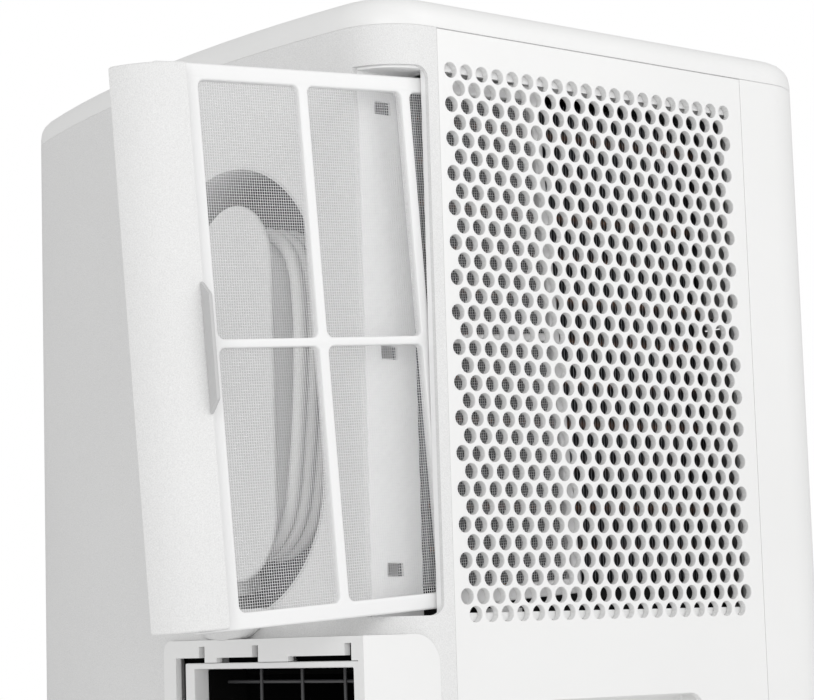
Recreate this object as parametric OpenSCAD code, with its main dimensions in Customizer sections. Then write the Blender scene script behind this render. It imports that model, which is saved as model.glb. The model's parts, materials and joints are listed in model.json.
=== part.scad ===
// Portable air conditioner on castors, with its side filter pulled out.
// Millimetres, +Z up, +Y to the rear, the intake grille on the -X side.
// The origin is on the floor, below the middle of the whole outline.

/* [Body] */
// Width of the case, side to side
body_w = 440; // [430:1:450]
// Depth of the case, front to rear crown
body_d = 397; // [390:1:405]
// Height from the floor to the top of the cap
body_h = 792; // [786:1:800]
// Corner radius of the case in plan
corner_r = 44; // [40:1:46]
// Radius of the bowed rear face in plan
rear_arc_r = 1008; // [900:1:1200]
// Wall thickness of the mouldings
wall = 3; // [2.5:0.1:3.5]

/* [Grille] */
// Distance between holes in a row
hole_pitch = 12.2; // [12:0.1:12.4]
// Diameter of a hole
hole_d = 9.5; // [8:0.1:10]
// Rows of holes
hole_rows = 32; // [20:2:32]
// Holes in the longer rows
hole_cols = 20; // [10:1:20]
// Thickness of the perforated panel
grille_t = 5; // [4:0.5:5]

/* [Filter] */
// How far the filter is pulled out
filter_pull_out = 148; // [140:1:150]
// Droop of the filter when it is pulled out that far, in degrees
filter_droop = 4; // [3:0.1:4]
// Height of the filter frame
filter_h = 318; // [316:1:318]

/* [Cord] */
// Diameter of the mains lead
cord_d = 9; // [7:0.5:9]

/* [Castors] */
// Height of the case above the floor
castor_h = 56; // [54:1:60]
// Radius of a castor wheel
wheel_r = 20; // [18:0.5:20]

/* [Hidden] */
$fn = 64;
eps = 0.01;

// Faces and seams of the case
half_w = body_w / 2;
filter_reach = 149;
rear_y = (body_d - filter_reach) / 2;
front_y = rear_y - body_d;
mid_y = (rear_y + front_y) / 2;
rear_seam_y = rear_y - 64;
front_seam_y = front_y + 75;
pan_top_z = 104;
panel_z = 72;
cap_z = body_h - 19;
bulkhead_z = 404;

// Corner centres of the plan outline
corner_x = half_w - corner_r;
rear_centre_y = rear_y - rear_arc_r;
corner_y = rear_centre_y + sqrt(pow(rear_arc_r - corner_r, 2) - pow(corner_x, 2));

// Grille
hole_y = rear_y - 74;
hole_z = cap_z - 25;
row_step = hole_pitch * sqrt(3) / 2;

// Filter, in its closed place
slot_y = rear_seam_y + 7.5;
slot_x = -193.4;
slot_z0 = 420.4;
slot_z1 = 748.5;
filter_z = 428;
filter_x = -211;
filter_t = 6;
filter_end_y = slot_y + 19;
filter_tip_y = slot_y - 264;
pivot_y = slot_y - 202;
pivot_z = filter_z + 3;
bar_w = 6.6;
window_w = 68.5;
edge_bar = 7;
rail_w = 9.5;
mid_bar = 5.2;
cover_h = 315;
pull_out_x = 8;
rail_top_z = 753;

// Cord well, centred on the hub
well_x = -80;
well_z = 563;
well_r = 84;
well_half = 58;
well_floor_y = rear_y - 50;
hub_r = 32;
plate_r = 42;
coil_x = well_x - 8;
coil_r = 56;
coil_y0 = well_floor_y + 2;
coil_t = 36;

// Exhaust port
port_x0 = -208;
port_x1 = -38;
port_z0 = 242;
port_z1 = 392;
port_rim = 4;
channel_x = -18;
housing_x1 = -3.5;
housing_y0 = rear_y - 52;
housing_y = rear_y + 3;
housing_z0 = 224;
housing_z1 = 410;
hook_slots = [[-52, -18], [-112, -66], [-208, -144]];

// Blowers
upper_y = -72;
upper_z = 590;
lower_x0 = -187;
lower_x1 = -32;
lower_y = -32;
lower_z = 296;

// Castors
castor_x = 165;
castor_y = 142;
castor_trail = 14;

// Route of the lead, one list for each stretch outside the coil
gland_route = [[-30, 82, 456], [-31, 82, 470], [-35, 81.5, 486], [-39, 81, 502], [-41, 80.5, 518]];
plug_route = [
    [-41, 107.5, 506], [-39, 107, 522], [-33, 105, 538], [-24, 102, 554],
    [-18, 99, 570], [-16, 98, 586], [-16, 98, 600]
];

white = [0.95, 0.95, 0.94];
shell_white = [0.9, 0.9, 0.89];
black = [0.08, 0.08, 0.09];

// ---------- shared shapes ----------

// Plan outline of the case, moved inward by d
module plan(d = 0) {
    far = rear_arc_r * 1.2;
    lean = corner_x / (corner_y - rear_centre_y);
    intersection() {
        translate([0, rear_centre_y]) circle(rear_arc_r - d, $fn = 1440);
        translate([0, rear_centre_y]) polygon([[0, 0], [-far * lean, far], [far * lean, far]]);
        translate([-half_w, mid_y]) square([body_w, body_d]);
    }
    for (x = [-corner_x, corner_x]) {
        translate([x, corner_y]) circle(corner_r - d, $fn = 96);
        translate([x, front_y + corner_r]) circle(corner_r - d, $fn = 96);
    }
    translate([-half_w + d, front_y + corner_r]) square([body_w - 2 * d, corner_y - front_y - corner_r]);
    translate([-corner_x, front_y + d]) square([2 * corner_x, corner_y - front_y - d]);
}

// Upright wall that follows the plan outline
module case_wall(z0, z1, t = wall, inset = 0) {
    translate([0, 0, z0]) linear_extrude(z1 - z0) difference() {
        plan(inset);
        plan(inset + t);
    }
}

// Centres the outline on the origin: the finger pull stands out on one side only
module seat() {
    translate([pull_out_x / 2, 0, 0]) children();
}

// Box from its low corner to its high corner
module block(low, high) {
    translate(low) cube(high - low);
}

// Cylinder along X from x0 to x1
module rod_x(x0, x1, y, z, r) {
    translate([x0, y, z]) rotate([0, 90, 0]) cylinder(h = x1 - x0, r = r);
}

// Cylinder along Y from y0 to y1
module rod_y(x, y0, y1, z, r) {
    translate([x, y1, z]) rotate([90, 0, 0]) cylinder(h = y1 - y0, r = r);
}

// Shape with round ends in the plane of the rear face, from y0 to y1
module stadium(x, z, r, half, y0, y1) {
    translate([x, y1, z]) rotate([90, 0, 0]) linear_extrude(y1 - y0) {
        for (s = [-half, half]) translate([0, s]) circle(r, $fn = 96);
        translate([-r, -half]) square([2 * r, 2 * half]);
    }
}

// Rectangle with round corners
module soft_rect(w, h, r) {
    for (x = [r, w - r], y = [r, h - r]) translate([x, y]) circle(r);
    translate([r, 0]) square([w - 2 * r, h]);
    translate([0, r]) square([w, h - 2 * r]);
}

// Moves filter pieces from their closed place to the pulled-out pose
module pulled_out() {
    translate([0, pivot_y + filter_pull_out, pivot_z])
        rotate([-filter_droop, 0, 0])
            translate([0, -pivot_y, -pivot_z]) children();
}

// Ring of points round a tube, square to its direction
function unit(v) = v / norm(v);
function tube_ring(p, t, r, n) =
    let (a = unit(cross(t, [1, 0.1, 0])), b = cross(t, a))
    [for (i = [0:n - 1]) p + r * (cos(360 * i / n) * a + sin(360 * i / n) * b)];
function direction(path, i) =
    unit(path[min(i + 1, len(path) - 1)] - path[max(i - 1, 0)]);

// Tube along a path
module tube(path, r, n = 10) {
    last = len(path) - 1;
    rings = [for (i = [0:last]) each tube_ring(path[i], direction(path, i), r, n)];
    sides = [for (k = [0:last - 1], i = [0:n - 1])
        [k * n + i, k * n + (i + 1) % n, (k + 1) * n + (i + 1) % n, (k + 1) * n + i]];
    start = [for (i = [0:n - 1]) n - 1 - i];
    end = [for (i = [0:n - 1]) last * n + i];
    polyhedron(points = rings, faces = concat(sides, [start], [end]));
}

// ---------- case ----------

module base_pan() {
    color(white) seat() difference() {
        union() {
            translate([0, 0, castor_h]) linear_extrude(pan_top_z - castor_h) difference() {
                plan(grille_t + 0.5);
                plan(grille_t + 3.5);
            }
            translate([0, 0, castor_h]) linear_extrude(wall) plan(wall);
            case_wall(castor_h, panel_z - 0.6, grille_t + 2);
            for (x = [-castor_x, castor_x], y = [-castor_y, castor_y])
                translate([x, mid_y + y, castor_h]) cylinder(h = 22, r = 11);
            rod_y(120, rear_y - 40, rear_y - 6, 84, 10);
        }
        for (x = [-castor_x, castor_x], y = [-castor_y, castor_y])
            translate([x, mid_y + y, castor_h - eps]) cylinder(h = 16, r = 5.05);
        rod_y(120, rear_y - 36, rear_y + 10, 84, 6);
    }
}

module rear_shell() {
    color(shell_white) seat() difference() {
        intersection() {
            case_wall(panel_z, cap_z);
            block([-half_w - 1, rear_seam_y, 0], [half_w + 1, rear_y + 1, body_h]);
        }
        translate([-half_w - 1, slot_y, slot_z0]) rotate([90, 0, 90])
            linear_extrude(slot_x + half_w + 1) soft_rect(2 * (rear_y - slot_y), slot_z1 - slot_z0, 8);
        stadium(well_x, well_z, well_r, well_half, rear_y - 60, rear_y + 1);
        housing_shape(-0.1, rear_y + 1);
        rod_y(120, rear_y - 30, rear_y + 1, 84, 11);
        rod_y(150, rear_y - 60, rear_y + 1, 150, 8);
    }
}

module grille_holes() {
    for (row = [0:hole_rows - 1]) {
        odd = row % 2;
        for (col = [0:hole_cols - 1 - odd])
            translate([hole_y - (col + odd / 2) * hole_pitch, hole_z - row * row_step])
                circle(d = hole_d, $fn = 24);
    }
}

module grille_panel() {
    y0 = front_seam_y + 0.3;
    y1 = rear_seam_y - 0.3;
    color(white) seat() translate([-half_w, 0, 0]) rotate([90, 0, 90]) linear_extrude(grille_t) difference() {
        translate([y0, panel_z]) square([y1 - y0, cap_z - 0.3 - panel_z]);
        grille_holes();
        translate([hole_y - 190, 319]) soft_rect(138, 49, 12);
    }
}

module side_panel() {
    y0 = front_seam_y + 0.3;
    y1 = rear_seam_y - 0.3;
    color(white) seat() translate([half_w - wall, 0, 0]) rotate([90, 0, 90]) linear_extrude(wall) difference() {
        translate([y0, panel_z]) square([y1 - y0, cap_z - 0.3 - panel_z]);
        translate([hole_y - 190, 319]) soft_rect(138, 49, 12);
        for (i = [0:13]) translate([hole_y - 215, 120 + i * 13]) soft_rect(190, 6, 2.9);
    }
}

module front_panel() {
    color(white) seat() difference() {
        intersection() {
            case_wall(panel_z, cap_z);
            block([-half_w - 1, front_y - 1, 0], [half_w + 1, front_seam_y, body_h]);
        }
        block([-152, front_y - 1, 620], [152, front_y + wall + 1, 710]);
    }
}

// Points along an arc, from angle a0 to a1
function arc(centre, r, a0, a1, n) =
    [for (i = [0:n]) let (a = a0 + (a1 - a0) * i / n) centre + r * [cos(a), sin(a)]];

// The plan outline as one list of points, moved inward by d
function plan_points(d) =
    let (r = corner_r - d, bow = asin(corner_x / (rear_arc_r - corner_r)))
    concat(
        arc([0, rear_centre_y], rear_arc_r - d, 90 - bow, 90 + bow, 12),
        arc([-corner_x, corner_y], r, 90 + bow, 180, 8),
        arc([-corner_x, front_y + corner_r], r, 180, 270, 8),
        arc([corner_x, front_y + corner_r], r, 270, 360, 8),
        arc([corner_x, corner_y], r, 0, 90 - bow, 8)
    );

// Cap outline with a rounded upper edge
module cap_shape(d, top) {
    edge_r = 14;
    hull() {
        translate([0, 0, cap_z]) linear_extrude(1) polygon(plan_points(d));
        for (a = [0:18:90])
            translate([0, 0, top - edge_r - 0.2 + edge_r * sin(a)])
                linear_extrude(0.2) polygon(plan_points(d + edge_r * (1 - cos(a))));
    }
}

module top_cap() {
    color(white) seat() difference() {
        cap_shape(0, body_h);
        translate([0, 0, -0.5]) cap_shape(wall, body_h - wall);
        block([-100.3, mid_y - 120.3, cap_z], [100.3, mid_y - 39.7, body_h + 1]);
    }
}

// ---------- controls ----------

button_x = [-64, -32, 0, 32, 64];

module control_panel() {
    y0 = mid_y - 120;
    y1 = mid_y - 40;
    color(black) seat() difference() {
        block([-100, y0, body_h - 16], [100, y1, body_h]);
        block([-98, y0 + 2, body_h - 14], [98, y1 - 2, body_h - 3]);
        for (x = button_x) translate([x, mid_y - 92, body_h - 4]) cylinder(h = 5, r = 9.3);
    }
}

module button(i) {
    color(white) seat() translate([button_x[i], mid_y - 92, 0]) {
        translate([0, 0, body_h - 5.5]) cylinder(h = 6.5, r = 9);
        translate([0, 0, body_h - 5.5]) cylinder(h = 2.2, r = 10.5);
        translate([0, 0, body_h - 9.5]) cylinder(h = 4.2, r = 2.5);
    }
}

module power_button() button(0);
module mode_button() button(1);
module fan_button() button(2);
module up_button() button(3);
module down_button() button(4);

// ---------- handles ----------

module handle_cup(side) {
    y0 = hole_y - 190;
    color(white) seat() translate([side * half_w, 0, 0]) mirror([side > 0 ? 1 : 0, 0, 0]) difference() {
        translate([side > 0 ? wall : grille_t, 0, 0])
            block([0.2, y0 - 4, 315], [19, y0 + 142, 372]);
        block([-1, y0 + 1, 320], [20, y0 + 137, 367]);
    }
}

module handle_left() handle_cup(-1);
module handle_right() handle_cup(1);

// ---------- air outlet ----------

outlet_z0 = 621;
outlet_z1 = 709;
vane_x = [-108, -36, 36, 108];
flap_y = front_y + 6;
flap_z = outlet_z0 + 9;

module outlet_frame() {
    color(white) seat() difference() {
        block([-151.5, front_y, outlet_z0], [151.5, front_y + 52, outlet_z1]);
        block([-147, front_y - 1, outlet_z0 + 4], [147, front_y + 53, outlet_z1 - 4]);
        rod_x(-149.5, 149.5, flap_y, flap_z, 2.55);
        for (x = vane_x) translate([x, front_y + 36, outlet_z0 + 2])
            cylinder(h = outlet_z1 - outlet_z0 - 4, r = 2.05);
    }
}

module outlet_flap() {
    color(white) seat() {
        block([-146, flap_y - 3, flap_z - 1.5], [146, flap_y, outlet_z1 - 5]);
        rod_x(-149.2, 149.2, flap_y, flap_z, 2.5);
    }
}

module vane(i) {
    color(white) seat() translate([vane_x[i], front_y + 36, 0]) {
        block([-1, -12, outlet_z0 + 5], [1, 12, outlet_z1 - 5]);
        translate([0, 0, outlet_z0 + 2.2]) cylinder(h = outlet_z1 - outlet_z0 - 4.4, r = 2);
    }
}

module vane_1() vane(0);
module vane_2() vane(1);
module vane_3() vane(2);
module vane_4() vane(3);

// ---------- filter ----------

window_y = filter_end_y - 30.7 - window_w;
inner_w = window_y - window_w - 2 * bar_w - filter_tip_y - edge_bar;
window_h = (filter_h - 2 * rail_w - mid_bar) / 2;

module window_column(y, w) {
    for (z = [filter_z + rail_w, filter_z + rail_w + window_h + mid_bar])
        translate([y, z]) soft_rect(w, window_h, 4);
}

module filter_windows() {
    window_column(window_y, window_w);
    window_column(window_y - window_w - bar_w, window_w);
    window_column(filter_tip_y + edge_bar, inner_w);
}

module filter_frame() {
    color(white) seat() pulled_out() difference() {
        translate([filter_x, 0, 0]) rotate([90, 0, 90]) linear_extrude(filter_t) difference() {
            translate([filter_tip_y, filter_z]) soft_rect(filter_end_y - filter_tip_y, filter_h, 5);
            filter_windows();
        }
        block([filter_x + 1.4, pivot_y - 10, filter_z - 1], [filter_x + 4.6, pivot_y + 10, filter_z + 7.5]);
        rod_x(filter_x - 1, filter_x + filter_t + 1, pivot_y, pivot_z, 1.55);
    }
}

module filter_mesh() {
    color([0.85, 0.85, 0.85]) seat() pulled_out()
        translate([filter_x + 2.8, 0, 0]) rotate([90, 0, 90]) linear_extrude(0.4)
            translate([filter_tip_y + edge_bar - 1, filter_z + rail_w - 1])
                square([window_y + window_w - filter_tip_y - edge_bar + 2, filter_h - 2 * rail_w + 2]);
}

// Corner strip of the case that closes the slot, with webs to the frame
module filter_cover() {
    z0 = filter_z + 1.5;
    color(shell_white) seat() pulled_out() {
        intersection() {
            case_wall(z0, z0 + cover_h);
            block([-half_w - 1, slot_y + 1, 0], [slot_x - 0.8, rear_y, body_h]);
        }
        intersection() {
            translate([0, 0, z0]) linear_extrude(cover_h) plan(wall - 0.2);
            union() for (i = [0:4])
                block([filter_x + 0.4, filter_end_y, z0 + 12 + i * 71], [filter_x + filter_t, rear_y, z0 + 18 + i * 71]);
        }
    }
}

// Finger pull on the edge of the strip
module filter_pull() {
    z1 = filter_z + 193;
    color(white) seat() pulled_out()
        translate([0, slot_y + 1, 0]) rotate([90, 0, 0]) mirror([0, 0, 1]) linear_extrude(2.6)
            polygon([[-half_w, z1], [-half_w - pull_out_x, z1 - 8],
                     [-half_w - pull_out_x, z1 - 66], [-half_w, z1 - 74]]);
}

// Shoe that runs in the bottom rail and carries the filter on a pin
module filter_glide() {
    y = pivot_y + filter_pull_out;
    color([0.75, 0.75, 0.75]) seat() {
        block([filter_x - 0.6, y - 12, slot_z0 + 0.4], [filter_x + filter_t + 0.6, y + 12, slot_z0 + 3.4]);
        block([filter_x + 1.8, y - 5, slot_z0 + 3], [filter_x + 4.2, y + 5, pivot_z + 2.5]);
        rod_x(filter_x + 0.1, filter_x + filter_t - 0.1, y, pivot_z, 1.5);
    }
}

// Channel behind the slot: far wall with catch slots, floor, ceiling and jamb
module filter_bay() {
    z0 = slot_z0 - 4;
    z1 = rail_top_z + 3;
    y0 = rear_seam_y + 0.3;
    color(shell_white) seat() {
        intersection() {
            linear_extrude(body_h) plan(wall + 0.15);
            union() {
                difference() {
                    union() {
                        block([-192.9, hole_y + 12, z0], [-190.6, rear_y, z1]);
                        block([-193.9, rear_y - 33, z0], [-192.9, rear_y - 20, 724]);
                    }
                    for (z = [448, 577, 726])
                        block([-195, rear_y - 48, z - 4], [-190, rear_y - 36, z + 4]);
                }
                block([-half_w, y0, z0], [-190.6, rear_y, slot_z0 - 0.6]);
                block([-half_w, y0, slot_z1 - 1.3], [-190.6, rear_y, z1]);
                block([-half_w, y0, z0], [filter_x - 1.2, slot_y - 0.3, z1]);
            }
        }
        filter_rail(slot_z0 - 4, slot_z0, 5);
        filter_rail(rail_top_z, rail_top_z + 3, -8);
        block([-214, filter_tip_y - 8, z0], [-202, filter_tip_y - 1, z1]);
    }
}

// Channel along the frame's edge with a lip on each side
module filter_rail(z0, z1, lip) {
    low = min(z0, z1 + lip);
    high = max(z1, z0 + lip);
    block([-214.6, filter_tip_y - 8, z0], [-200.8, rear_seam_y - 0.5, z1]);
    block([-202, rear_seam_y - 20, z0], [-190.6, rear_seam_y + 3, z1]);
    for (x = [-214.6, -202.6])
        block([x, filter_tip_y - 8, low], [x + 1.8, rear_seam_y - 0.5, high]);
}

// ---------- cord well and lead ----------

// Lip below the well that the lead runs over
module chin() {
    x = -72;
    z = 469;
    difference() {
        translate([x, rear_y - 2, z]) scale([1, 0.3, 1]) sphere(62);
        difference() {
            translate([x, rear_y - 2, z]) scale([1, 0.24, 1]) sphere(58.5);
            block([x - 70, 0, 0], [x + 70, rear_y + 0.5, body_h]);
        }
        block([x - 70, 0, 428], [x + 70, body_d, body_h]);
        block([x - 70, 0, 0], [x + 70, rear_y - 6, body_h]);
        block([x - 70, 0, 0], [x + 70, housing_y + 0.3, housing_z1 + 0.3]);
        difference() {
            linear_extrude(body_h) plan(-0.1);
            stadium(well_x, well_z, well_r - 0.8, well_half, 0, body_d);
        }
    }
}

module cord_well() {
    color(shell_white) seat() {
        well_tub();
        chin();
    }
}

module well_tub() {
    difference() {
        intersection() {
            stadium(well_x, well_z, well_r + 2.4, well_half, well_floor_y - 2.5, rear_y + 1);
            linear_extrude(body_h) plan(wall + 0.1);
        }
        stadium(well_x, well_z, well_r - 1.6, well_half, well_floor_y, rear_y + 2);
    }
    difference() {
        intersection() {
            stadium(well_x, well_z, well_r - 0.1, well_half, well_floor_y + 2, rear_y + 2);
            linear_extrude(body_h) plan(-0.4);
        }
        stadium(well_x, well_z, well_r - 1.6, well_half, well_floor_y, rear_y + 3);
    }
}

module cord_hub() {
    color(shell_white) seat() {
        stadium(well_x, well_z, hub_r, well_half + 10, well_floor_y, rear_y - 8);
        stadium(well_x, well_z, plate_r, well_half + 18, rear_y - 8, rear_y - 4);
    }
}

module cord_coil() {
    color(white) seat() difference() {
        stadium(coil_x, well_z, coil_r, well_half, coil_y0, coil_y0 + coil_t);
        stadium(well_x, well_z, hub_r + 1, well_half + 10, coil_y0 - 1, coil_y0 + coil_t + 1);
    }
}

module power_cord() {
    color(white) seat() {
        tube(gland_route, cord_d / 2);
        tube(plug_route, cord_d / 2);
    }
}

module cord_gland() {
    color(white) seat() {
        translate([-30, 82, 438]) cylinder(h = 18, r = 7.5);
        block([-37, well_floor_y, 440], [-23, 82, 452]);
    }
}

module mains_plug() {
    color(white) seat() {
        block([-28.5, 82, 600], [-3.5, 114, 636]);
        for (y = [88.5, 107.5]) translate([-16, y, 636]) cylinder(h = 19, r = 2.4);
    }
}

// ---------- exhaust ----------

// Box of the housing, d inside its faces, out to y1
module housing_shape(d, y1) {
    h = housing_z1 - housing_z0 - 2 * d;
    intersection() {
        translate([-half_w - 20, y1, housing_z0 + d]) rotate([90, 0, 0])
            linear_extrude(y1 - housing_y0) soft_rect(housing_x1 + half_w + 20 - d, h, 8 - d);
        translate([-half_w + d, housing_y0 + d, housing_z0 + d]) rotate([90, 0, 90])
            linear_extrude(half_w) soft_rect(2 * (housing_y - housing_y0), h, 18 - d);
    }
}

// Squares off the corner of the case round the port; slots in its face take the adaptor's hooks
module exhaust_housing() {
    color(white) seat() difference() {
        housing_shape(0, housing_y);
        housing_shape(wall, housing_y - 4);
        block([-213, housing_y0 - 1, port_z0], [housing_x1 - wall, housing_y0 + wall + 1, port_z1]);
        block([port_x0 - 6.5, housing_y - 5, port_z0 - port_rim], [channel_x, housing_y + 1, port_z1 + port_rim]);
        for (s = hook_slots) {
            block([s[0], housing_y - 5, port_z1 + port_rim - 1], [s[1], housing_y + 1, port_z1 + port_rim + 3]);
            block([s[0], housing_y - 5, port_z1 + port_rim], [s[0] + 6.5, housing_y + 1, port_z1 + 14]);
            block([s[0], housing_y - 5, port_z0 - port_rim - 3], [s[1], housing_y + 1, port_z0 - port_rim + 1]);
        }
    }
}

// Frame of the port, held by lugs behind the housing's face
module exhaust_collar() {
    y1 = housing_y - 1;
    color(white) seat() difference() {
        union() {
            block([port_x0 - 6.3, y1 - 11, port_z0 - port_rim + 0.2],
                  [port_x1 + 10.6, y1, port_z1 + port_rim - 0.2]);
            for (x = [-62, -136, -124])
                block([x, y1 - 11, port_z0 - 10], [x + 6, y1 - 3.3, port_z1 + 10]);
        }
        block([port_x0, y1 - 12, port_z0], [port_x1, y1 + 1, port_z1]);
    }
}

// Black duct behind the port, its backing plate and the wires across it
module exhaust_guard() {
    y1 = housing_y - 12.2;
    y = housing_y - 27;
    color(black) seat() {
        difference() {
            union() {
                block([-216, y1 - 2, housing_z0 + 4], [housing_x1 - 5, y1, housing_z1 - 4]);
                block([port_x0 - 2, y1 - 28, port_z0 - 2], [port_x1 + 2, y1 - 1, port_z1 + 2]);
            }
            block([port_x0, y1 - 29, port_z0], [port_x1, y1 + 1, port_z1]);
        }
        for (i = [0:5]) rod_x(port_x0 - 1, port_x1 + 1, y, 383.5 - i * 25, 0.9);
        for (x = [-77, -121.5, -166]) translate([x, y + 1.2, port_z0 - 1]) cylinder(h = port_z1 - port_z0 + 2, r = 0.9);
    }
}

// ---------- cold side ----------

module evaporator() {
    color([0.35, 0.36, 0.38]) seat() {
        block([-189, -186, 440], [-161, 56, 745]);
        for (i = [0:10]) translate([-175, -186, 460 + i * 26]) rotate([0, 90, 90]) return_bend();
    }
}

// Half hoop of tube that joins two rows of a coil
module return_bend() {
    translate([0, 0, 0]) rotate([90, 0, 0]) rotate_extrude(angle = 180) translate([8, 0]) circle(3);
}

module drip_tray() {
    color(black) seat() difference() {
        block([-190, -196, 414], [-152, 62, 438]);
        block([-188, -194, 416], [-154, 60, 439]);
    }
}

// Spiral housing in the side plane: a round body with a straight discharge
module scroll_outline(r, cy, cz, y_out, z0, z1, d) {
    translate([cy, cz]) circle(r - d, $fn = 96);
    translate([min(cy, y_out), z0 + d]) square([abs(y_out - cy), z1 - z0 - 2 * d]);
}

module scroll(x0, x1, r, cy, cz, y_out, z0, z1, inlet_r) {
    rotate([90, 0, 90]) {
        translate([0, 0, x0]) linear_extrude(x1 - x0) difference() {
            scroll_outline(r, cy, cz, y_out, z0, z1, 0);
            scroll_outline(r, cy, cz, y_out + (y_out > cy ? 1 : -1), z0, z1, 2.5);
        }
        for (x = [x0, x1 - 2.5]) translate([0, 0, x]) linear_extrude(2.5) difference() {
            scroll_outline(r, cy, cz, y_out, z0, z1, 0);
            translate([cy, cz]) circle(inlet_r, $fn = 96);
        }
    }
}

module upper_scroll() {
    color(white) seat() scroll(-75, 60, 108, upper_y, upper_z, front_y + 53, 622, 698, 60);
}

module lower_scroll() {
    color(black) seat() scroll(lower_x0 - 2.5, lower_x1 + 2.5, 98, lower_y, lower_z, housing_y - 42, port_z0 + 2, port_z1 - 2, 52);
}

// Drum of blades between two rims, on a hub plate with its shaft
module blower_wheel(r, x0, x1, shaft_end, cy, cz, blades) {
    translate([0, cy, cz]) rotate([0, 90, 0]) {
        for (x = [x0, x1 - 4]) translate([0, 0, x]) difference() {
            cylinder(h = 4, r = r, $fn = 96);
            translate([0, 0, -1]) cylinder(h = 6, r = r - 14, $fn = 96);
        }
        for (i = [0:blades - 1]) rotate([0, 0, i * 360 / blades])
            translate([r - 13, -0.8, x0 + 3]) cube([12, 1.6, x1 - x0 - 6]);
        translate([0, 0, x1 - 4]) cylinder(h = 3, r = r - 10, $fn = 96);
        translate([0, 0, x1 - 20]) cylinder(h = shaft_end - x1 + 20, r = 4);
    }
}

module upper_wheel() {
    color(black) seat() blower_wheel(84, -68, 50, 88, upper_y, upper_z, 30);
}

module lower_wheel() {
    color(black) seat() blower_wheel(76, lower_x0 + 8, lower_x1 - 14, 12, lower_y, lower_z, 26);
}

module motor(x0, x1, r, cy, cz, bore_end) {
    difference() {
        union() {
            rod_x(x0, x1, cy, cz, r);
            rod_x(x0 - 6, x0, cy, cz, 12);
            block([x0 + 8, cy - r - 10, cz - 6], [x0 + 14, cy + r + 10, cz + 6]);
        }
        rod_x(x0 - 7, bore_end, cy, cz, 4.05);
    }
}

module upper_motor() {
    color([0.6, 0.6, 0.62]) seat() motor(70, 128, 46, upper_y, upper_z, 90);
}

module lower_motor() {
    color([0.6, 0.6, 0.62]) seat() motor(-20, 34, 40, lower_y, lower_z, 14);
}

module bulkhead() {
    color([0.7, 0.7, 0.7]) seat() difference() {
        translate([0, 0, bulkhead_z]) linear_extrude(4) intersection() {
            plan(6);
            translate([-half_w + 8, front_y]) square([body_w - 16, rear_seam_y - 1 - front_y]);
        }
        translate([30, -190, bulkhead_z - 1]) cylinder(h = 6, r = 9);
    }
}

// ---------- hot side ----------

module condenser() {
    color([0.62, 0.63, 0.65]) seat() {
        block([150, -186, 92], [184, 36, 398]);
        for (i = [0:10]) translate([167, 36, 112 + i * 26]) rotate([0, 90, 90]) mirror([0, 1, 0]) return_bend();
    }
}

module compressor() {
    color([0.12, 0.12, 0.13]) seat() {
        translate([62, -172, 88]) cylinder(h = 196, r = 56);
        translate([62, -172, 284]) intersection() {
            scale_cap(56);
            block([-60, -60, 0], [60, 60, 60]);
        }
        translate([62, -172, 78]) cylinder(h = 10, r = 66);
        translate([-18, -190, 130]) cylinder(h = 130, r = 21);
    }
}

// Low dome of a pressed steel lid
module scale_cap(r) {
    translate([0, 0, -r]) intersection() {
        sphere(r * 1.4142);
        cylinder(h = r * 2, r = r);
    }
}

module compressor_mounts() {
    color(black) seat() for (a = [30:120:270])
        translate([62 + 54 * cos(a), -172 + 54 * sin(a), castor_h + wall + 0.2]) cylinder(h = 18.6, r = 9);
}

// Straight copper runs with round corners
module pipe_run(points, r) {
    for (i = [0:len(points) - 2]) {
        leg = points[i + 1] - points[i];
        translate(points[i]) rotate([0, acos(leg[2] / norm(leg)), atan2(leg[1], leg[0])])
            cylinder(h = norm(leg), r = r);
    }
    for (i = [1:len(points) - 2]) translate(points[i]) sphere(r);
}

module pipework() {
    color([0.72, 0.42, 0.25]) seat() {
        pipe_run([[62, -172, 308], [62, -172, 350], [150, -172, 350]], 5);
        pipe_run([[-18, -190, 260.5], [-18, -190, 380], [30, -190, 380], [30, -190, 452], [-161, -176, 452]], 6);
        pipe_run([[150, -150, 130], [132, -150, 130], [132, -150, 60.2 + 60]], 3);
    }
}

module control_box() {
    color([0.75, 0.75, 0.76]) seat() {
        block([58, -30, 90], [134, 40, 210]);
        translate([96, 5, 210]) cylinder(h = 60, r = 22);
    }
}

// ---------- small parts ----------

screw_at = [[-110, -150], [0, -180], [110, -150], [-110, 110], [0, 130], [110, 110]];

module screws() {
    color([0.5, 0.5, 0.52]) seat() for (p = screw_at)
        translate([p[0], mid_y + p[1], castor_h - 2.2]) {
            difference() {
                cylinder(h = 2.2, r = 4);
                translate([-0.6, -3, -0.1]) cube([1.2, 6, 1]);
                translate([-3, -0.6, -0.1]) cube([6, 1.2, 1]);
            }
        }
}

module drain_spigot() {
    color(white) seat() difference() {
        union() {
            rod_y(150, rear_y - 50, rear_y + 14, 150, 7);
            rod_y(150, rear_y - 9, rear_y - 6, 150, 12);
        }
        rod_y(150, rear_y - 51, rear_y + 15, 150, 5);
    }
}

module drain_bung() {
    color(black) seat() {
        rod_y(120, rear_y - 30, rear_y - 5.6, 84, 5.95);
        rod_y(120, rear_y - 5.6, rear_y, 84, 10);
    }
}

// ---------- castors ----------

function castor_sign(i) = [i % 2 == 0 ? -1 : 1, i < 2 ? 1 : -1];

module at_castor(i) {
    s = castor_sign(i);
    translate([s[0] * castor_x, mid_y + s[1] * castor_y, 0]) children();
}

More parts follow.
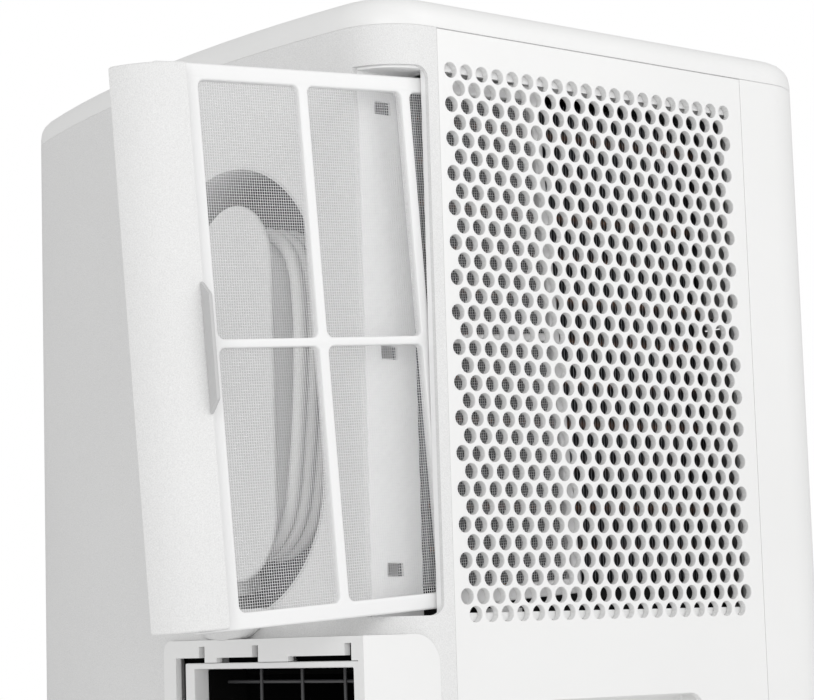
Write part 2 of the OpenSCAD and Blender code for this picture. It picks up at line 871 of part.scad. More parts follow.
module castor_fork(i) {
    color(black) seat() at_castor(i) {
        translate([0, 0, 46]) cylinder(h = 9.6, r = 12);
        translate([0, 0, 50]) cylinder(h = 20, r = 5);
        for (x = [-12.5, 9.5]) difference() {
            hull_ear(x);
            rod_x(x - 1, x + 4, castor_trail, wheel_r, 2.5);
        }
        rod_x(-12.5, 12.5, castor_trail, wheel_r, 2.5);
        block([-12.5, -10, 44], [12.5, castor_trail + 8, 47]);
    }
}

// One cheek of a castor fork
module hull_ear(x) {
    rod_x(x, x + 3, castor_trail, wheel_r, 8);
    block([x, castor_trail - 8, wheel_r], [x + 3, castor_trail + 8, 46]);
    block([x, -8, 36], [x + 3, castor_trail, 46]);
}

module castor_wheel(i) {
    color([0.3, 0.3, 0.31]) seat() at_castor(i) translate([-9, castor_trail, wheel_r]) rotate([0, 90, 0])
        rotate_extrude($fn = 96) difference() {
            union() {
                translate([2.55, 0]) square([wheel_r - 4.55, 18]);
                translate([2.55, 2]) square([wheel_r - 2.55, 14]);
                translate([wheel_r - 2, 2]) circle(2);
                translate([wheel_r - 2, 16]) circle(2);
            }
            translate([9, -1]) square([5, 4]);
            translate([9, 15]) square([5, 4]);
        }
}

module castor_fork_1() castor_fork(0);
module castor_fork_2() castor_fork(1);
module castor_fork_3() castor_fork(2);
module castor_fork_4() castor_fork(3);
module castor_wheel_1() castor_wheel(0);
module castor_wheel_2() castor_wheel(1);
module castor_wheel_3() castor_wheel(2);
module castor_wheel_4() castor_wheel(3);

base_pan();
rear_shell();
grille_panel();
side_panel();
front_panel();
top_cap();
control_panel();
power_button();
mode_button();
fan_button();
up_button();
down_button();
handle_left();
handle_right();
outlet_frame();
outlet_flap();
vane_1();
vane_2();
vane_3();
vane_4();
filter_frame();
filter_mesh();
filter_cover();
filter_pull();
filter_glide();
filter_bay();
cord_well();
cord_hub();
power_cord();
cord_coil();
mains_plug();
cord_gland();
exhaust_housing();
exhaust_collar();
exhaust_guard();
evaporator();
drip_tray();
upper_scroll();
upper_wheel();
upper_motor();
bulkhead();
condenser();
lower_scroll();
lower_wheel();
lower_motor();
compressor();
compressor_mounts();
pipework();
control_box();
screws();
drain_spigot();
drain_bung();
castor_fork_1();
castor_fork_2();
castor_fork_3();
castor_fork_4();
castor_wheel_1();
castor_wheel_2();
castor_wheel_3();
castor_wheel_4();
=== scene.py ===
import json
import math

import bmesh
import bpy
from mathutils import Matrix, Vector

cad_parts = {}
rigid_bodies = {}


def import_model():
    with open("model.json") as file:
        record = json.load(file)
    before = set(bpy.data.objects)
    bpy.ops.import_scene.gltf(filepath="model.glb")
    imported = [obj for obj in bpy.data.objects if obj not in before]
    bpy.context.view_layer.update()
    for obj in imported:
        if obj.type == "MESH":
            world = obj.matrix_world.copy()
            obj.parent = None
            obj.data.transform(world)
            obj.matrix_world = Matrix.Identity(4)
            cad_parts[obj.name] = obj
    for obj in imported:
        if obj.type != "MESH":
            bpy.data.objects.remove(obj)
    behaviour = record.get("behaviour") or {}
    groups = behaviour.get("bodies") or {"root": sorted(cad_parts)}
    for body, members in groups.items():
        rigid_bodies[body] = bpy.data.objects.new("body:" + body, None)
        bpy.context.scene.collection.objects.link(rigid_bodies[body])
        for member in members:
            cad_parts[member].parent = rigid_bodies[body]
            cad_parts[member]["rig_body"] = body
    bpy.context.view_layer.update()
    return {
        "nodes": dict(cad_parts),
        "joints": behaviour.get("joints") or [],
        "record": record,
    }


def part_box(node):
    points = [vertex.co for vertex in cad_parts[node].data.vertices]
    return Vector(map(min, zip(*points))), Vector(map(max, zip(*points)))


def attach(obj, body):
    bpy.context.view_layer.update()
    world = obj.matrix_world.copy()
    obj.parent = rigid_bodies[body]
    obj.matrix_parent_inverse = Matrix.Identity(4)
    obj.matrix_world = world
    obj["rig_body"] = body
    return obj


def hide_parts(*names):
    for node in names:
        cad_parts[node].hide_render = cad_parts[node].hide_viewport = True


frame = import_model()
nodes = frame["nodes"]
joints = {joint["name"]: joint for joint in frame["joints"]}
print("frame loaded")

# camera

cameraSetup = {"place": (-1.2905, 0.9135, 0.4088), "turn": (97.006, 1.688, -127.273), "lens": 103.0}

cameraData = bpy.data.cameras.new("camera")
cameraData.lens = cameraSetup["lens"]
cameraData.sensor_width = 36.0
cameraData.clip_end = 100.0
camera = bpy.data.objects.new("camera", cameraData)
bpy.context.scene.collection.objects.link(camera)
camera.location = cameraSetup["place"]
camera.rotation_euler = [math.radians(angle) for angle in cameraSetup["turn"]]
bpy.context.scene.camera = camera


# materials

def newMaterial(name):
    material = bpy.data.materials.new(name)
    material.use_nodes = True
    tree = material.node_tree
    return material, tree, tree.nodes["Principled BSDF"]


def addNode(tree, kind, inputs=None, **settings):
    node = tree.nodes.new(kind)
    for key, value in settings.items():
        setattr(node, key, value)
    for key, value in (inputs or {}).items():
        node.inputs[key].default_value = value
    return node


def objectPoint(tree, scale=(1, 1, 1)):
    coordinates = addNode(tree, "ShaderNodeTexCoord")
    mapping = addNode(tree, "ShaderNodeMapping", {"Scale": scale})
    tree.links.new(coordinates.outputs["Object"], mapping.inputs["Vector"])
    return mapping.outputs["Vector"]


def noiseAt(tree, point, scale, detail=3.0, roughness=0.5):
    noise = addNode(tree, "ShaderNodeTexNoise", {"Scale": scale, "Detail": detail, "Roughness": roughness})
    tree.links.new(point, noise.inputs["Vector"])
    return noise.outputs["Fac"]


def spread(tree, factor, low, high):
    span = addNode(tree, "ShaderNodeMapRange",
                   {"From Min": 0.3, "From Max": 0.7, "To Min": low, "To Max": high})
    tree.links.new(factor, span.inputs["Value"])
    return span.outputs["Result"]


def blendColour(tree, factor, first, second):
    mix = addNode(tree, "ShaderNodeMix", data_type="RGBA")
    mix.inputs["A"].default_value = (*first, 1.0)
    mix.inputs["B"].default_value = (*second, 1.0)
    tree.links.new(factor, mix.inputs["Factor"])
    return mix.outputs["Result"]


def addBump(tree, shader, height, strength, distance, onto=None):
    bump = addNode(tree, "ShaderNodeBump", {"Strength": strength, "Distance": distance})
    tree.links.new(height, bump.inputs["Height"])
    if onto is not None:
        tree.links.new(onto.outputs["Normal"], bump.inputs["Normal"])
    tree.links.new(bump.outputs["Normal"], shader.inputs["Normal"])
    return bump


# tint is how much the colour wanders, by cloud and by grain
def mouldedPlastic(name, colour, roughness, grainScale, grainDepth, tint=(0.02, 0.0), specular=0.5):
    material, tree, shader = newMaterial(name)
    point = objectPoint(tree)
    cloud = spread(tree, noiseAt(tree, point, 9.0, 2.0), 1.0 - tint[0], 1.0)
    speckle = spread(tree, noiseAt(tree, point, grainScale, 2.0), 1.0 - tint[1], 1.0)
    shade = addNode(tree, "ShaderNodeMath", operation="MULTIPLY")
    tree.links.new(cloud, shade.inputs[0])
    tree.links.new(speckle, shade.inputs[1])
    tree.links.new(blendColour(tree, shade.outputs[0], (0.0, 0.0, 0.0), colour), shader.inputs["Base Color"])
    tree.links.new(spread(tree, noiseAt(tree, point, 60.0), roughness - 0.05, roughness + 0.05),
                   shader.inputs["Roughness"])
    flow = addBump(tree, shader, noiseAt(tree, point, 14.0, 1.0), 0.05, 0.002)
    addBump(tree, shader, noiseAt(tree, point, grainScale, 4.0, 0.6), 0.6, grainDepth, flow)
    shader.inputs["Specular IOR Level"].default_value = specular
    return material


def brushedMetal(name, colour, roughness, along):
    material, tree, shader = newMaterial(name)
    streaks = noiseAt(tree, objectPoint(tree, along), 90.0, 4.0)
    darker = [channel * 0.75 for channel in colour]
    tree.links.new(blendColour(tree, streaks, colour, darker), shader.inputs["Base Color"])
    tree.links.new(spread(tree, streaks, roughness - 0.08, roughness + 0.08), shader.inputs["Roughness"])
    addBump(tree, shader, streaks, 0.15, 0.0002)
    shader.inputs["Metallic"].default_value = 1.0
    return material


# depths of the cord well over which painted shadow greys the shell's colour
well = {"mouth": 0.122, "floor": 0.080, "floorPaintedShadow": 0.16}


# painted shadow: the shell's plastic, greyer the deeper it lies in the cord well, standing in for the shade
# inside the well
def paintedWellShadow():
    material = finishes["grained_white"].copy()
    material.name = "wellPaintedShadow"
    tree = material.node_tree
    shader = tree.nodes["Principled BSDF"]
    colour = shader.inputs["Base Color"].links[0].from_socket
    place = addNode(tree, "ShaderNodeSeparateXYZ")
    tree.links.new(objectPoint(tree), place.inputs[0])
    depth = addNode(tree, "ShaderNodeMapRange", {"From Min": well["mouth"], "From Max": well["floor"],
                                                 "To Min": 1.0, "To Max": well["floorPaintedShadow"]})
    tree.links.new(place.outputs["Y"], depth.inputs["Value"])
    # painted shadow: the colour multiplied down towards the floor shade with depth
    dim = addNode(tree, "ShaderNodeMix", data_type="RGBA", blend_type="MULTIPLY")
    dim.inputs["Factor"].default_value = 1.0
    tree.links.new(colour, dim.inputs["A"])
    tree.links.new(depth.outputs["Result"], dim.inputs["B"])
    tree.links.new(dim.outputs["Result"], shader.inputs["Base Color"])
    return material


def wovenNylon(name):
    material, tree, shader = newMaterial(name)
    point = objectPoint(tree)
    tree.links.new(blendColour(tree, noiseAt(tree, point, 300.0), (0.93, 0.93, 0.93), (0.82, 0.82, 0.83)),
                   shader.inputs["Base Color"])
    tree.links.new(spread(tree, noiseAt(tree, point, 500.0), 0.38, 0.55), shader.inputs["Roughness"])
    shader.inputs["Transmission Weight"].default_value = 0.12
    return material


def cordSheath(name):
    material, tree, shader = newMaterial(name)
    point = objectPoint(tree)
    tree.links.new(blendColour(tree, noiseAt(tree, point, 40.0), (0.80, 0.80, 0.79), (0.72, 0.72, 0.71)),
                   shader.inputs["Base Color"])
    tree.links.new(spread(tree, noiseAt(tree, point, 150.0), 0.42, 0.56), shader.inputs["Roughness"])
    addBump(tree, shader, noiseAt(tree, point, 420.0, 3.0), 0.3, 0.0001)
    shader.inputs["Subsurface Weight"].default_value = 0.05
    shader.inputs["Subsurface Radius"].default_value = (0.002, 0.002, 0.002)
    return material


def enamel(name):
    material, tree, shader = newMaterial(name)
    point = objectPoint(tree)
    tree.links.new(blendColour(tree, noiseAt(tree, point, 25.0), (0.02, 0.02, 0.021), (0.045, 0.045, 0.047)),
                   shader.inputs["Base Color"])
    addBump(tree, shader, noiseAt(tree, point, 260.0, 3.0), 0.3, 0.0003)
    shader.inputs["Roughness"].default_value = 0.32
    shader.inputs["Coat Weight"].default_value = 0.4
    return material


finishes = {
    "smooth_white": mouldedPlastic("smoothWhite", (0.82, 0.82, 0.815), 0.36, 900.0, 0.00003),
    "grained_white": mouldedPlastic("grainedWhite", (0.80, 0.80, 0.797), 0.60, 1400.0, 0.0004,
                                    (0.02, 0.12), 0.35),
    "filter_white": mouldedPlastic("filterWhite", (0.83, 0.83, 0.83), 0.40, 1400.0, 0.00003),
    "filter_net": wovenNylon("filterNet"),
    "cord_white": cordSheath("cordWhite"),
    "black_plastic": mouldedPlastic("blackPlastic", (0.014, 0.014, 0.015), 0.6, 1200.0, 0.0001,
                                    (0.2, 0.2), 0.2),
    "panel_gloss": mouldedPlastic("panelGloss", (0.012, 0.012, 0.014), 0.08, 300.0, 0.00001, (0.1, 0.0)),
    "foam_white": mouldedPlastic("foamWhite", (0.78, 0.78, 0.76), 0.8, 350.0, 0.0008, (0.04, 0.12), 0.2),
    "fin_aluminium": brushedMetal("finAluminium", (0.36, 0.37, 0.39), 0.42, (1, 1, 0.05)),
    "motor_steel": brushedMetal("motorSteel", (0.52, 0.52, 0.54), 0.34, (0.1, 1, 1)),
    "plate_steel": brushedMetal("plateSteel", (0.60, 0.61, 0.62), 0.38, (1, 0.1, 1)),
    "compressor_paint": enamel("compressorEnamel"),
    "copper": brushedMetal("copperTube", (0.72, 0.36, 0.20), 0.26, (1, 1, 0.2)),
    "rubber": mouldedPlastic("blackRubber", (0.03, 0.03, 0.032), 0.78, 700.0, 0.0004, (0.2, 0.2), 0.3),
}
for entry in frame["record"]["subparts"]:
    mesh = nodes[entry["node"]].data
    mesh.materials.clear()
    mesh.materials.append(finishes[entry["material_slot"]])
# painted shade: the finger pull's plastic made grey, standing in for the shade on its outer face
pullPaintedShade = mouldedPlastic("pullPaintedShade", (0.52, 0.52, 0.52), 0.45, 900.0, 0.0001)
# painted light: the filter bay's plastic made whiter than the shell, standing in for light on its shaded
# channel walls
bayPaintedLight = mouldedPlastic("bayPaintedLight", (0.93, 0.93, 0.93), 0.5, 900.0, 0.0001)
ductBlack = mouldedPlastic("ductBlack", (0.006, 0.006, 0.006), 0.95, 1200.0, 0.0001, (0.2, 0.2), 0.0)
wireGrey = mouldedPlastic("wireGrey", (0.06, 0.06, 0.062), 0.45, 1200.0, 0.0001)
for name in ("exhaust_guard", "lower_scroll", "lower_wheel"):
    nodes[name].data.materials[0] = ductBlack
# the filter bay gets the whitened plastic that paints light onto its shaded walls
nodes["filter_bay"].data.materials[0] = bayPaintedLight
print("materials made")


# shared making

def addPiece(name, mesh, slot, body, *replaced):
    piece = bpy.data.objects.new(name, mesh)
    bpy.context.scene.collection.objects.link(piece)
    mesh.materials.clear()
    mesh.materials.append(finishes[slot])
    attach(piece, body)
    if replaced:
        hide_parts(*replaced)
    return piece


def meshFrom(shape, name, crease=40.0):
    for face in shape.faces:
        face.smooth = True
    for edge in shape.edges:
        edge.smooth = len(edge.link_faces) == 2 and edge.calc_face_angle(0.0) < math.radians(crease)
    mesh = bpy.data.meshes.new(name)
    shape.to_mesh(mesh)
    shape.free()
    return mesh


def evenShading(piece):
    even = piece.modifiers.new("evenShading", "WEIGHTED_NORMAL")
    even.keep_sharp = True


weldGap = 0.00002
plate = {"thick": 0.006, "reach": 0.012, "level": 0.001, "segments": 5}


def sharpEdges(shape, corner):
    return [edge for edge in shape.edges
            if len(edge.link_faces) == 2 and edge.calc_face_angle(0.0) > math.radians(corner)]


def roundEdges(shape, edges, offset, segments, **settings):
    bmesh.ops.bevel(shape, geom=edges, offset=offset, offset_type="OFFSET", affect="EDGES",
                    segments=segments, profile=0.5, material=-1, clamp_overlap=True, **settings)


# the short upright ends of a plate's corners, near its top and bottom
def plateEnds(node, edges):
    low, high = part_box(node)
    return [edge for edge in edges if edge.calc_length() < plate["thick"]
            and all(min(v.co.z - low.z, high.z - v.co.z) < plate["reach"] for v in edge.verts)
            and abs(edge.verts[0].co.z - edge.verts[1].co.z) < plate["level"]]


# a copy of a moulded part with its corners rounded as a mould leaves them
def softenNode(node, edge, segments=2, corner=35.0, finish=None, plateCorner=0.0, merge=True):
    shape = bmesh.new()
    shape.from_mesh(nodes[node].data)
    bmesh.ops.remove_doubles(shape, verts=shape.verts, dist=weldGap)
    if merge:  # a flat with a hole through it is left in its triangles
        bmesh.ops.dissolve_limit(shape, angle_limit=math.radians(0.6), verts=shape.verts, edges=shape.edges)
    if plateCorner:
        roundEdges(shape, plateEnds(node, sharpEdges(shape, corner)), plateCorner, plate["segments"])
    roundEdges(shape, sharpEdges(shape, corner), edge, segments, miter_outer="ARC")
    mesh = meshFrom(shape, node)
    body = nodes[node]["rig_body"]
    slot = next(entry["material_slot"] for entry in frame["record"]["subparts"] if entry["node"] == node)
    piece = addPiece("moulded_" + node, mesh, slot, body, node)
    if finish:
        mesh.materials[0] = finish
    evenShading(piece)
    return piece


# closed outline with round corners, as points in a plane
def roundedOutline(low, high, radius, steps=6):
    points = []
    for i, (sideX, sideY) in enumerate(((1, 1), (0, 1), (0, 0), (1, 0))):
        middleX = high[0] - radius if sideX else low[0] + radius
        middleY = high[1] - radius if sideY else low[1] + radius
        for step in range(steps + 1):
            angle = math.radians(90 * i + 90 * step / steps)
            points.append((middleX + radius * math.cos(angle), middleY + radius * math.sin(angle)))
    return points


def circleOutline(middle, radius, steps=24):
    return [(middle[0] + radius * math.cos(2 * math.pi * i / steps),
             middle[1] + radius * math.sin(2 * math.pi * i / steps)) for i in range(steps)]


# sheet cut to an outline with holes, facing X, its edges eased, from x0 to x1
def cutPlate(name, outlines, x0, x1, ease):
    curve = bpy.data.curves.new(name, "CURVE")
    curve.dimensions = "2D"
    curve.fill_mode = "BOTH"
    for outline in outlines:
        spline = curve.splines.new("POLY")
        spline.points.add(len(outline) - 1)
        for point, (y, z) in zip(spline.points, outline):
            point.co = (y, z, 0.0, 1.0)
        spline.use_cyclic_u = True
    curve.extrude = (x1 - x0) / 2 - ease
    curve.bevel_depth = ease
    curve.bevel_resolution = 1
    curve.offset = -ease
    flat = bpy.data.objects.new(name, curve)
    mesh = bpy.data.meshes.new_from_object(flat)
    bpy.data.objects.remove(flat)
    toSide = Matrix(((0, 0, 1, (x0 + x1) / 2), (1, 0, 0, 0), (0, 1, 0, 0), (0, 0, 0, 1)))
    mesh.transform(toSide)
    shape = bmesh.new()
    shape.from_mesh(mesh)
    bpy.data.meshes.remove(mesh)
    bmesh.ops.remove_doubles(shape, verts=shape.verts, dist=0.000005)
    bmesh.ops.recalc_face_normals(shape, faces=shape.faces)
    return shape


def addBlock(shape, low, high):
    made = bmesh.ops.create_cube(shape, size=1.0)["verts"]
    size = [b - a for a, b in zip(low, high)]
    middle = [(a + b) / 2 for a, b in zip(low, high)]
    bmesh.ops.scale(shape, vec=size, verts=made)
    bmesh.ops.translate(shape, vec=middle, verts=made)
    return made


def addRod(shape, start, end, radius, steps=8, caps=True):
    start, end = Vector(start), Vector(end)
    made = bmesh.ops.create_cone(shape, cap_ends=caps, segments=steps, radius1=radius, radius2=radius,
                                 depth=(end - start).length)["verts"]
    turn = Vector((0, 0, 1)).rotation_difference(end - start).to_matrix().to_4x4()
    bmesh.ops.transform(shape, matrix=Matrix.Translation((start + end) / 2) @ turn, verts=made)
    return made


# mains lead

seat = 0.004  # the case stands this far off the middle, because the finger pull is on one side
lead = {"diameter": 0.009, "turns": 3, "front": 0.1075, "back": 0.0805, "slack": 0.004, "eased": 3,
        "low": (-0.081, 0.500, 0.0405), "high": (-0.0865, 0.622, 0.043)}
glandRoute = [(-30, 82, 456), (-31, 82, 470), (-35, 81.5, 486), (-39, 81, 502), (-41, 80.5, 518)]
plugRoute = [(-41, 107.5, 506), (-39, 107, 522), (-33, 105, 538), (-24, 102, 554), (-18, 99, 570),
             (-16, 98, 586), (-16, 98, 600)]
sleeve = {"length": 0.034, "thick": 0.0072, "thin": 0.0052, "ribs": 8, "rib": 0.0004}


def inMetres(route):
    return [Vector((x / 1000 + seat, y / 1000, z / 1000)) for x, y, z in route]


# one lap round the hub: up the right side, over the wide top, down the slack left side
def lapPoints():
    lowX, lowZ, lowR = lead["low"]
    highX, highZ, highR = lead["high"]
    points = []
    for i in range(13):
        angle = math.pi * i / 12
        points.append((highX + highR * math.cos(angle), highZ + highR * math.sin(angle)))
    for share in (0.15, 0.3, 0.45, 0.6, 0.75, 0.9):
        slack = lead["slack"] * math.sin(math.pi * share)
        points.append((highX - highR + share * (lowX - lowR - highX + highR) - slack,
                       highZ + share * (lowZ - highZ)))
    for i in range(13):
        angle = math.pi + math.pi * i / 12
        points.append((lowX + lowR * math.cos(angle), lowZ + lowR * math.sin(angle)))
    for share in (0.2, 0.4, 0.6, 0.8):
        points.append((lowX + lowR + share * (highX + highR - lowX - lowR), lowZ + share * (highZ - lowZ)))
    return points


def leadPath():
    points = inMetres(glandRoute)
    lap = lapPoints()
    onRight = len(lap) - 3  # the lead joins the lap part way up the right side
    count = lead["turns"] * len(lap)
    for i in range(count - 1):
        x, z = lap[(onRight + i) % len(lap)]
        depth = lead["back"] + (lead["front"] - lead["back"]) * i / count
        points.append(Vector((x + seat, depth, z)))
    return points + inMetres(plugRoute)[1:]


def evenSteps(places, length, count):
    step = length / (count - 1)
    spaced, toGo = [places[0]], step
    for start, end in zip(places, places[1:]):
        stretch, done = (end - start).length, 0.0
        while stretch - done >= toGo and len(spaced) < count:
            done += toGo
            spaced.append(start.lerp(end, done / stretch))
            toGo = step
        toGo -= stretch - done
    return spaced


# tapered and ribbed, over the lead where it leaves a rigid part
def makeSleeve(name, places):
    curve = bpy.data.curves.new(name, "CURVE")
    curve.dimensions = "3D"
    curve.bevel_depth = 1.0
    curve.bevel_resolution = 5
    curve.use_fill_caps = True
    count = sleeve["ribs"] * 6 + 1
    spline = curve.splines.new("POLY")
    spline.points.add(count - 1)
    for i, (point, place) in enumerate(zip(spline.points, evenSteps(places, sleeve["length"], count))):
        share = i / (count - 1)
        point.co = (*place, 1.0)
        point.radius = (sleeve["thick"] + (sleeve["thin"] - sleeve["thick"]) * share
                        + sleeve["rib"] * math.cos(2 * math.pi * share * sleeve["ribs"]))
    flat = bpy.data.objects.new(name, curve)
    mesh = bpy.data.meshes.new_from_object(flat)
    bpy.data.objects.remove(flat)
    mesh.shade_smooth()
    return addPiece(name, mesh, "cord_white", "case")


def makeLead():
    points = leadPath()
    curve = bpy.data.curves.new("mains_lead", "CURVE")
    curve.dimensions = "3D"
    curve.bevel_depth = lead["diameter"] / 2
    curve.bevel_resolution = 4
    curve.use_fill_caps = True
    spline = curve.splines.new("POLY")
    spline.points.add(len(points) - 1)
    for point, place in zip(spline.points, points):
        point.co = (*place, 1.0)
    for _ in range(lead["eased"]):  # ease the joins between stretches
        places = [Vector(point.co[:3]) for point in spline.points]
        for i in range(2, len(places) - 2):
            spline.points[i].co = (*(places[i] * 0.5 + (places[i - 1] + places[i + 1]) * 0.25), 1.0)
    spline.use_smooth = True
    piece = bpy.data.objects.new("mains_lead", curve)
    bpy.context.scene.collection.objects.link(piece)
    curve.materials.append(finishes["cord_white"])
    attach(piece, "case")
    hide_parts("power_cord", "cord_coil")
    places = [Vector(point.co[:3]) for point in spline.points]
    softenNode("mains_plug", 0.002, 3)
    makeSleeve("gland_sleeve", places)
    makeSleeve("plug_sleeve", places[::-1])


makeLead()

# case

mouldings = {
    "front_panel": {"edge": 0.0006},
    "side_panel": {"edge": 0.0006},
    "base_pan": {"edge": 0.0008},
    "top_cap": {"edge": 0.0008, "corner": 50.0},
    "handle_left": {"edge": 0.002, "segments": 3},
    "handle_right": {"edge": 0.002, "segments": 3},
    "rear_shell": {"edge": 0.0008},
    # the cord well's plastic carries painted shadow, greyer with depth
    "cord_well": {"edge": 0.0006, "finish": paintedWellShadow()},
    "cord_hub": {"edge": 0.0018, "segments": 4},
    "exhaust_housing": {"edge": 0.0015, "segments": 3, "merge": False},
    "exhaust_collar": {"edge": 0.0009, "merge": False},
    "filter_cover": {"edge": 0.0008, "plateCorner": 0.004},
    # the finger pull takes a grey finish that paints in the shade on its face
    "filter_pull": {"edge": 0.0008, "finish": pullPaintedShade},
    "control_panel": {"edge": 0.0005},
    "outlet_frame": {"edge": 0.0008},
    "outlet_flap": {"edge": 0.0006},
}
keyEdge, vaneEdge, forkEdge, wheelEdge = 0.0006, 0.0003, 0.0006, 0.0005

for node, settings in mouldings.items():
    softenNode(node, **settings)
for key in ("power", "mode", "fan", "up", "down"):
    softenNode(key + "_button", keyEdge)
for number in ("1", "2", "3", "4"):
    softenNode("vane_" + number, vaneEdge)
    softenNode("castor_fork_" + number, forkEdge)
    softenNode("castor_wheel_" + number, wheelEdge)
print("case softened")

grille = {"pitch": 0.0122, "hole": 0.0095, "rows": 32, "columns": 20, "top": 0.748, "first": 0.050,
          "ease": 0.0005, "cup": (-0.140, 0.319, 0.138, 0.049, 0.012)}


def makeGrille():
    low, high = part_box("grille_panel")
    outlines = [[(low.y, low.z), (high.y, low.z), (high.y, high.z), (low.y, high.z)]]
    for row in range(grille["rows"]):
        odd = row % 2
        for column in range(grille["columns"] - odd):
            middle = (grille["first"] - (column + odd / 2) * grille["pitch"],
                      grille["top"] - row * grille["pitch"] * math.sqrt(3) / 2)
            outlines.append(circleOutline(middle, grille["hole"] / 2))
    y, z, wide, tall, radius = grille["cup"]
    outlines.append(roundedOutline((y, z), (y + wide, z + tall), radius))
    shape = cutPlate("grille", outlines, low.x, high.x, grille["ease"])
    piece = addPiece("perforated_panel", meshFrom(shape, "grille", 50.0), "smooth_white", "case",
                     "grille_panel")
    evenShading(piece)


makeGrille()
print("grille made")

# exhaust port

guard = {"low": (-0.204, 0.242), "high": (-0.034, 0.392), "depth": 0.1000, "wire": 0.0011, "behind": 0.0012,
         "firstRow": 0.3835, "rowGap": 0.025, "rows": 6, "columns": (-0.073, -0.1175, -0.162)}


# coated wires that keep fingers out of the duct
def makeGuardWires():
    shape = bmesh.new()
    x0, z0 = guard["low"]
    x1, z1 = guard["high"]
    front, back = guard["depth"], guard["depth"] + guard["behind"]
    for i in range(guard["rows"]):
        z = guard["firstRow"] - i * guard["rowGap"]
        addRod(shape, (x0, front, z), (x1, front, z), guard["wire"], 10)
    for x in guard["columns"]:
        addRod(shape, (x, back, z0), (x, back, z1), guard["wire"], 10)
    piece = addPiece("guard_wires", meshFrom(shape, "guardWires", 60.0), "black_plastic", "case")
    piece.data.materials[0] = wireGrey


makeGuardWires()
print("guard made")

# filter

filterKit = {"thick": 0.006, "height": 0.318, "outer": 0.0865, "tip": -0.1965, "low": 0.428, "side": -0.207,
             "margin": 0.0307, "window": 0.0685, "bar": 0.0066, "tipBar": 0.007, "rail": 0.0095,
             "middle": 0.0052, "ease": 0.0011, "corner": 0.004, "threadGap": 0.0016, "thread": 0.00016,
             "rimCorner": 0.005, "held": 0.001, "drawn": 0.148}


# from the filter's closed place to where it is stored, drawn out and drooped
def drawnOut():
    pivot = Vector(joints["filter_droop"]["pos_m"])
    home = Vector((0, -filterKit["drawn"], 0))
    couplings = frame["record"]["behaviour"]["couplings"]
    ratio = next(entry["ratio"] for entry in couplings if entry["joint"] == "filter_droop")
    turn = Matrix.Rotation(ratio * filterKit["drawn"], 4, "X")
    return Matrix.Translation(pivot) @ turn @ Matrix.Translation(-(pivot + home))


def filterColumns():
    kit = filterKit
    first = kit["outer"] - kit["margin"] - kit["window"]
    second = first - kit["window"] - kit["bar"]
    third = kit["tip"] + kit["tipBar"]
    return [(first, first + kit["window"]), (second, second + kit["window"]), (third, second - kit["bar"])]


def makeFilterFrame():
    kit = filterKit
    tall = (kit["height"] - 2 * kit["rail"] - kit["middle"]) / 2
    outlines = [roundedOutline((kit["tip"], kit["low"]), (kit["outer"], kit["low"] + kit["height"]),
                               kit["rimCorner"])]
    for y0, y1 in filterColumns():
        for z0 in (kit["low"] + kit["rail"], kit["low"] + kit["rail"] + tall + kit["middle"]):
            outlines.append(roundedOutline((y0, z0), (y1, z0 + tall), kit["corner"], 8))
    shape = cutPlate("filterFrame", outlines, kit["side"], kit["side"] + kit["thick"], kit["ease"])
    bmesh.ops.transform(shape, matrix=drawnOut(), verts=shape.verts)
    piece = addPiece("filter_bars", meshFrom(shape, "filterFrame", 50.0), "filter_white", "filter",
                     "filter_frame")
    evenShading(piece)


# real threads, one by one, so that the net shows what is behind it
def makeNet():
    kit = filterKit
    x = kit["side"] + kit["thick"] / 2
    y0 = kit["tip"] + kit["tipBar"] - kit["held"]
    y1 = filterColumns()[0][1] + kit["held"]
    z0 = kit["low"] + kit["rail"] - kit["held"]
    z1 = kit["low"] + kit["height"] - kit["rail"] + kit["held"]
    shape = bmesh.new()
    for i in range(int((y1 - y0) / kit["threadGap"])):
        y = y0 + (i + 0.5) * kit["threadGap"]
        addRod(shape, (x - kit["thread"], y, z0), (x - kit["thread"], y, z1), kit["thread"], 5)
    for i in range(int((z1 - z0) / kit["threadGap"])):
        z = z0 + (i + 0.5) * kit["threadGap"]
        addRod(shape, (x + kit["thread"], y0, z), (x + kit["thread"], y1, z), kit["thread"], 5)
    bmesh.ops.transform(shape, matrix=drawnOut(), verts=shape.verts)
    addPiece("filter_net", meshFrom(shape, "filterNet", 80.0), "filter_net", "filter", "filter_mesh")


makeFilterFrame()
makeNet()
print("filter made")

# coils

finStack = {"gap": 0.0024, "thick": 0.00022, "endPlate": 0.002, "tubes": 11, "tube": 0.0042,
            "tubeSide": 0.008, "tubeMargin": 0.02, "tubeEnd": 0.0005}


# thin fins across a row of tubes, in place of a coil's block
def makeCoil(node, name, depth):
    low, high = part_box(node)
    shape = bmesh.new()
    half, plateThick = finStack["thick"], finStack["endPlate"]
    for i in range(int((depth[1] - depth[0]) / finStack["gap"])):
        y = depth[0] + (i + 0.5) * finStack["gap"]
        addBlock(shape, (low.x, y - half, low.z), (high.x, y + half, high.z))
    for y in (depth[0], depth[1] - plateThick):
        addBlock(shape, (low.x, y, low.z), (high.x, y + plateThick, high.z))
    addPiece(name, meshFrom(shape, name), "fin_aluminium", "case", node)
    pipes = bmesh.new()
    middle = (low.x + high.x) / 2
    start, end = depth[0] + finStack["tubeEnd"], depth[1] - finStack["tubeEnd"]
    rise = (high.z - low.z - 2 * finStack["tubeMargin"]) / (finStack["tubes"] - 1)
    for i in range(finStack["tubes"]):
        z = low.z + finStack["tubeMargin"] + i * rise
        for x in (middle - finStack["tubeSide"], middle + finStack["tubeSide"]):
            addRod(pipes, (x, start, z), (x, end, z), finStack["tube"], 12)
    addPiece(name + "_tubes", meshFrom(pipes, name + "Tubes", 50.0), "copper", "case")


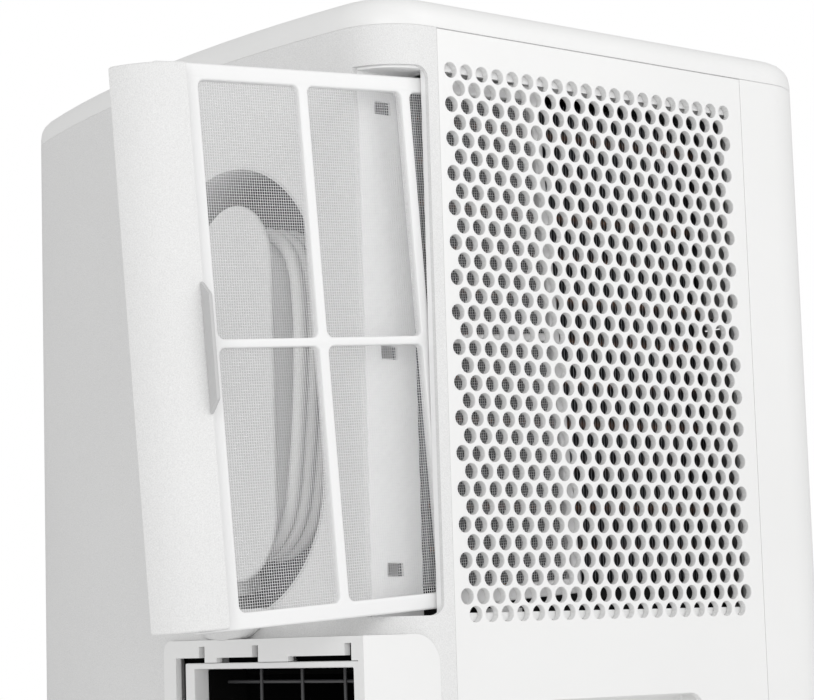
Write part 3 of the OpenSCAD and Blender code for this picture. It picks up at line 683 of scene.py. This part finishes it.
makeCoil("evaporator", "evaporator_fins", (-0.186, 0.056))
makeCoil("condenser", "condenser_fins", (-0.186, 0.036))
print("coils made")

# stage and light

skyStrength = 0.68
panelLights = {
    "keyPanel": {"place": (-2.2, -0.9, 1.8), "target": (0.0, 0.0, 0.5), "size": (1.6, 1.8), "power": 15.0},
    "fillPanel": {"place": (-2.0, 1.7, 0.9), "target": (-0.1, 0.1, 0.55), "size": (1.4, 1.4), "power": 17.0},
}
floorSize = 2.4


def addPanelLight(name, place, target, size, power):
    data = bpy.data.lights.new(name, "AREA")
    data.shape = "RECTANGLE"
    data.size, data.size_y = size
    data.energy = power
    lamp = bpy.data.objects.new(name, data)
    bpy.context.scene.collection.objects.link(lamp)
    lamp.location = place
    lamp.rotation_euler = (Vector(target) - Vector(place)).to_track_quat("-Z", "Y").to_euler()


def makeStage():
    shape = bmesh.new()
    bmesh.ops.create_grid(shape, x_segments=1, y_segments=1, size=floorSize)
    floor = bpy.data.objects.new("floor", meshFrom(shape, "floor"))
    bpy.context.scene.collection.objects.link(floor)
    material, tree, shader = newMaterial("floor")
    point = objectPoint(tree)
    tree.links.new(blendColour(tree, noiseAt(tree, point, 2.0), (0.93, 0.93, 0.93), (0.90, 0.90, 0.90)),
                   shader.inputs["Base Color"])
    shader.inputs["Roughness"].default_value = 0.8
    floor.data.materials.append(material)


def makeSky():
    world = bpy.data.worlds.new("studio")
    world.use_nodes = True
    tree = world.node_tree
    background = tree.nodes["Background"]
    seen = addNode(tree, "ShaderNodeLightPath")
    strength = addNode(tree, "ShaderNodeMapRange", {"To Min": skyStrength, "To Max": 1.0})
    tree.links.new(seen.outputs["Is Camera Ray"], strength.inputs["Value"])
    tree.links.new(strength.outputs["Result"], background.inputs["Strength"])
    background.inputs["Color"].default_value = (1.0, 1.0, 1.0, 1.0)
    bpy.context.scene.world = world


makeStage()
makeSky()
for name, panel in panelLights.items():
    addPanelLight(name, **panel)
bpy.context.scene.view_settings.view_transform = "Standard"
print("stage made")
